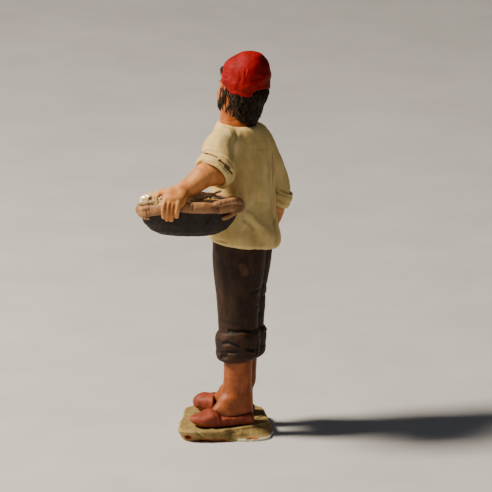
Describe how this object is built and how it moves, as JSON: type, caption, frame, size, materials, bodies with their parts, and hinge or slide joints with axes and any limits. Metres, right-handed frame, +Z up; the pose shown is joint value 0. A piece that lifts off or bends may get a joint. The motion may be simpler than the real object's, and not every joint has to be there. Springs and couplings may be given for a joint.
{
  "type": "clay nativity figure",
  "caption": "Small painted clay figure of a fisherman in a cap and rolled trousers, carrying a basket of fish at his left hip, on a clay slab.",
  "frame": {"origin": "near the middle of the slab's flat underside", "axes": "+Z up along the standing figure, -Y the way his hips and feet face, +X towards his left hand and the basket"},
  "size_m": [0.0362, 0.0285, 0.0808],
  "materials": {
    "bare_clay": "matt fired clay with a thin olive-beige wash",
    "painted_clay": "fired clay, hand painted, matt to satin",
    "basket_clay": "matt fired clay, brown wash, lighter rim",
    "silvered_clay": "fired clay with silver and gold metallic paint"
  },
  "bodies": {
    "root": {"base_slab": "bare_clay", "fisherman": "painted_clay", "basket": "basket_clay", "fish_1": "silvered_clay", "fish_2": "silvered_clay", "fish_3": "silvered_clay", "fish_4": "silvered_clay", "fish_5": "silvered_clay", "fish_6": "silvered_clay", "fish_7": "silvered_clay"}
  },
  "joints": []
}
